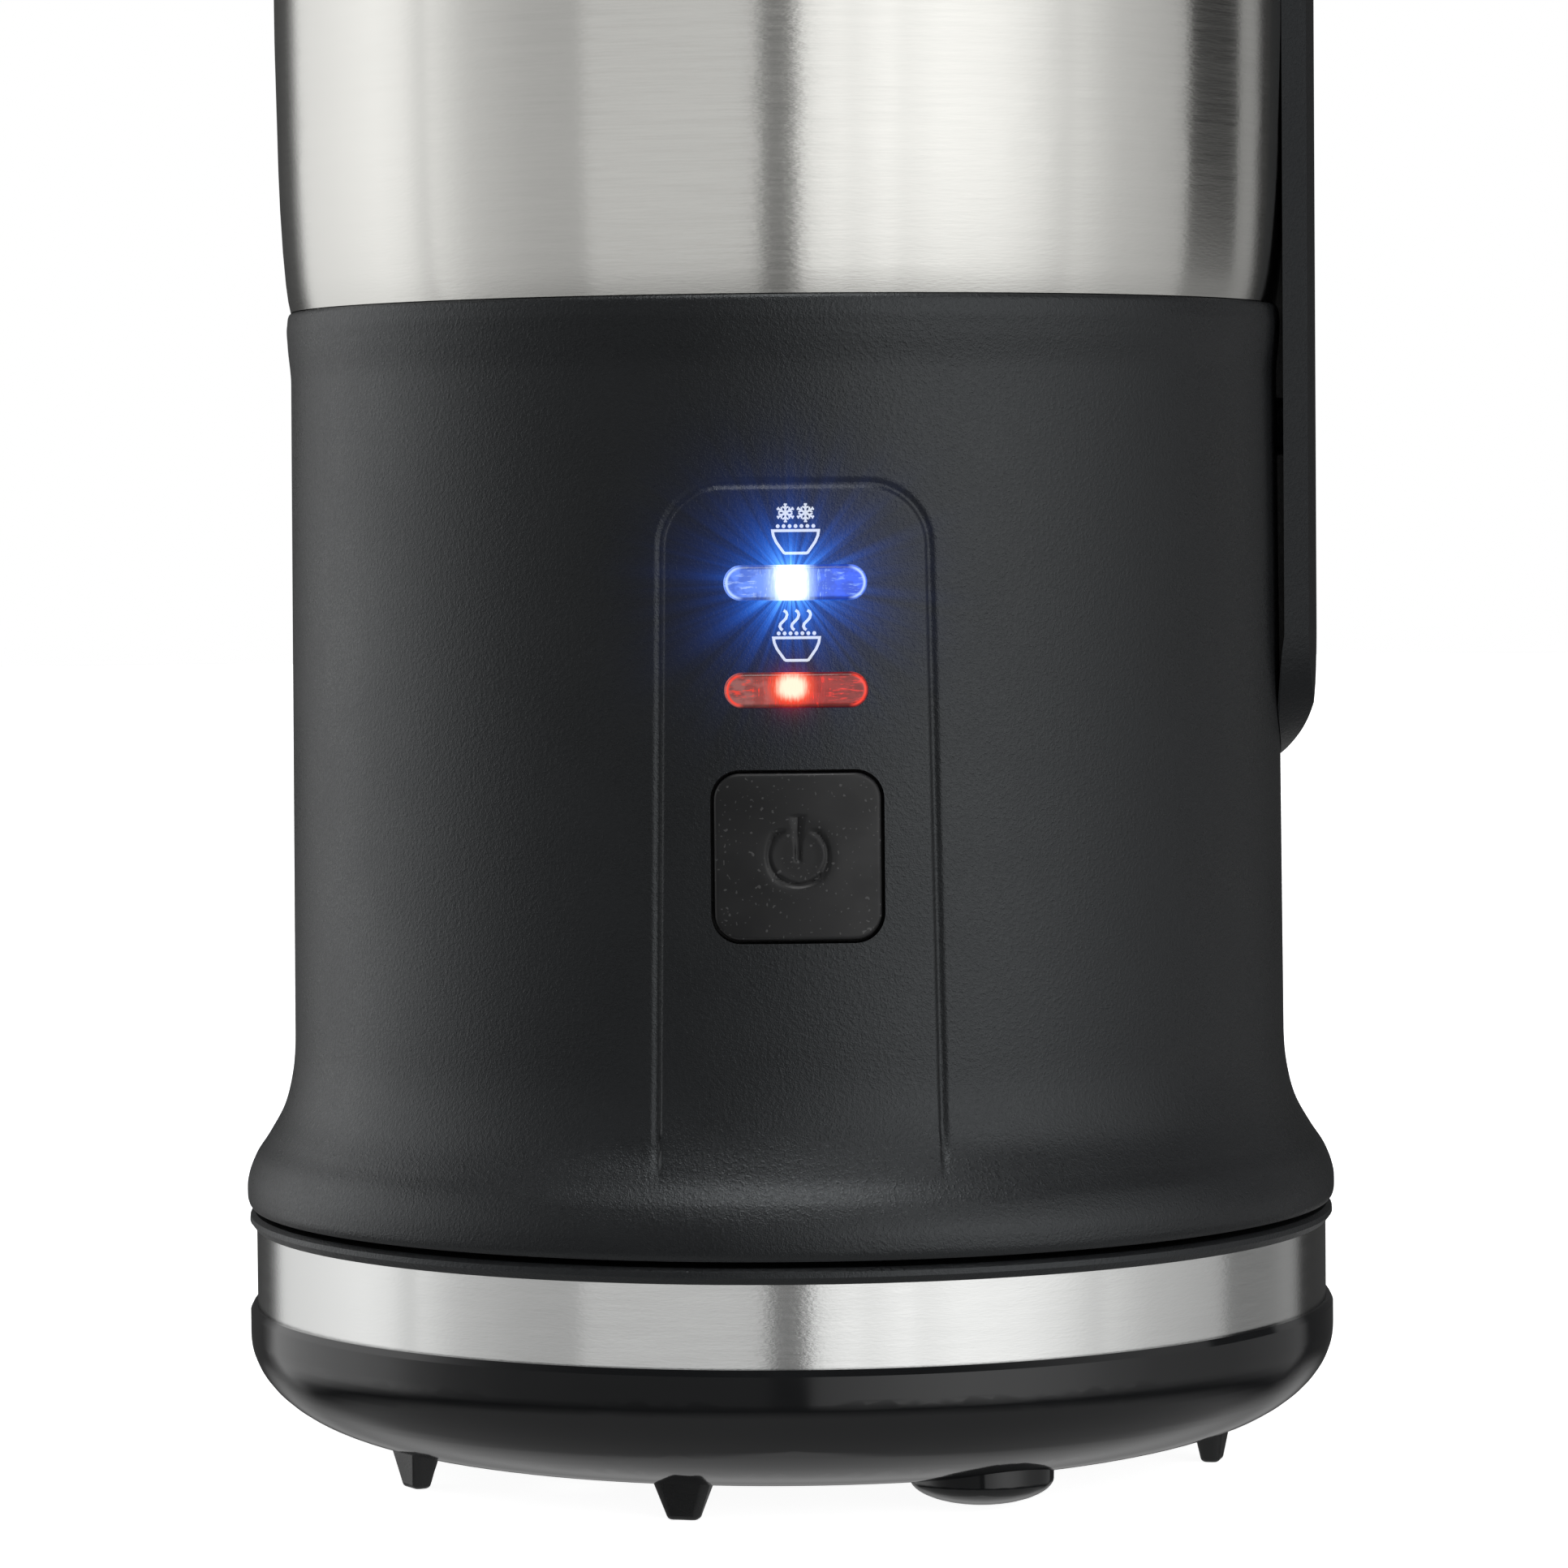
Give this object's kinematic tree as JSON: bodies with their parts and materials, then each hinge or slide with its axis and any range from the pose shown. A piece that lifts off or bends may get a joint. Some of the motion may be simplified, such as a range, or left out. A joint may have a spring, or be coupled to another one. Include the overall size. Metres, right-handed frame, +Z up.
{
  "type": "milk frother",
  "caption": "Electric milk frother: a brushed steel jug with a heated pot, magnetic whisk, control panel and grip spine, lifting off a round swivelling power base.",
  "frame": {"origin": "on the floor at the centre of the base, on the jug's axis", "axes": "+Z up along the jug's axis; the control panel faces -Y, the grip spine is at +X and the spout at -X"},
  "size_m": [0.1064, 0.1064, 0.204],
  "materials": {
    "gloss_black": "glossy",
    "matte_black": "spark-eroded matte",
    "button_black": "smooth matte",
    "feet_black": "satin",
    "bush_rubber": "matte",
    "jug_steel": "brushed round the jug",
    "band_steel": "brushed",
    "connector_nylon": "satin",
    "contact_brass": "satin",
    "screw_steel": "zinc plated",
    "spring_steel": "drawn wire",
    "pot_coating": "non-stick coating",
    "pivot_steel": "polished",
    "clear_silicone": "satin",
    "plate_aluminium": "satin",
    "heater_steel": "oxidised",
    "lead_sleeve": "woven sleeve",
    "motor_steel": "drawn",
    "inner_plastic": "moulded",
    "magnet_nickel": "nickel plated",
    "board_green": "solder mask",
    "part_black": "moulded",
    "part_blue": "sleeve",
    "white_plastic": "satin",
    "blue_light": "lit",
    "red_light": "lit",
    "blue_window": "clear, lit blue",
    "red_window": "clear, lit red",
    "whisk_black": "satin",
    "whisk_wire": "polished wire",
    "lid_clear": "clear"
  },
  "bodies": {
    "base": {"base_tray": "gloss_black", "base_feet": "feet_black", "base_band": "band_steel", "base_top": "matte_black", "base_screws": "screw_steel", "cord_inlet": "bush_rubber", "base_connector": "connector_nylon", "base_contact_ring": "contact_brass", "contact_spring": "spring_steel"},
    "swivel": {"centre_contact": "contact_brass"},
    "jug": {"jug_bottom": "matte_black", "bottom_screws": "screw_steel", "jug_connector": "connector_nylon", "jug_contacts": "contact_brass", "jug_housing": "matte_black", "jug_jacket": "jug_steel", "jug_collar": "matte_black", "pot": "pot_coating", "pot_pivot": "pivot_steel", "pot_seal": "clear_silicone", "grip_spine": "matte_black", "grip_screws": "screw_steel", "heater_plate": "plate_aluminium", "heater_element": "heater_steel", "heater_leads": "lead_sleeve", "thermostat": "white_plastic", "temperature_sensor": "contact_brass", "motor_plate": "inner_plastic", "plate_screws": "screw_steel", "motor_can": "motor_steel", "motor_screws": "screw_steel", "power_board": "board_green", "power_board_screws": "screw_steel", "relay": "part_black", "capacitor": "part_blue", "board_link": "white_plastic", "control_board": "board_green", "board_screws": "screw_steel", "lens_holder": "white_plastic", "blue_led": "blue_light", "red_led": "red_light", "blue_lens": "blue_window", "red_lens": "red_window", "button_spring": "spring_steel", "switch_body": "part_black"},
    "lid": {"lid_cover": "lid_clear", "lid_seal": "clear_silicone", "lid_knob": "matte_black", "knob_screw": "screw_steel"},
    "rotor": {"motor_shaft": "pivot_steel", "magnet_carrier": "inner_plastic", "drive_magnets": "magnet_nickel"},
    "whisk": {"whisk_hub": "whisk_black", "whisk_magnets": "magnet_nickel", "whisk_frame": "whisk_wire", "whisk_coil": "whisk_wire"},
    "button": {"power_button": "button_black"},
    "plunger": {"switch_plunger": "white_plastic"}
  },
  "joints": [
    {"name": "jug_turn", "type": "hinge", "parent": "base", "child": "swivel", "pos_m": [0, 0, 0.03], "axis": [0, 0, 1], "continuous": true},
    {"name": "jug_lift", "type": "slide", "parent": "swivel", "child": "jug", "axis": [0, 0, 1], "range_m": [0, 0.06]},
    {"name": "lid_lift", "type": "slide", "parent": "jug", "child": "lid", "axis": [0, 0, 1], "range_m": [0, 0.05]},
    {"name": "rotor_spin", "type": "hinge", "parent": "jug", "child": "rotor", "pos_m": [0, 0, 0.08], "axis": [0, 0, 1], "continuous": true},
    {"name": "whisk_lift", "type": "slide", "parent": "rotor", "child": "whisk", "axis": [0, 0, 1], "range_m": [0, 0.05]},
    {"name": "button_press", "type": "slide", "parent": "jug", "child": "button", "axis": [0, 1, 0], "range_m": [0, 0.0006], "stiffness_N_per_m": 400, "springref_m": -0.002, "deforming": ["button_spring"]},
    {"name": "plunger_press", "type": "slide", "parent": "jug", "child": "plunger", "axis": [0, 1, 0], "range_m": [0, 0.0006]}
  ],
  "couplings": [
    {"joint": "plunger_press", "follows": "button_press", "ratio": 1}
  ]
}
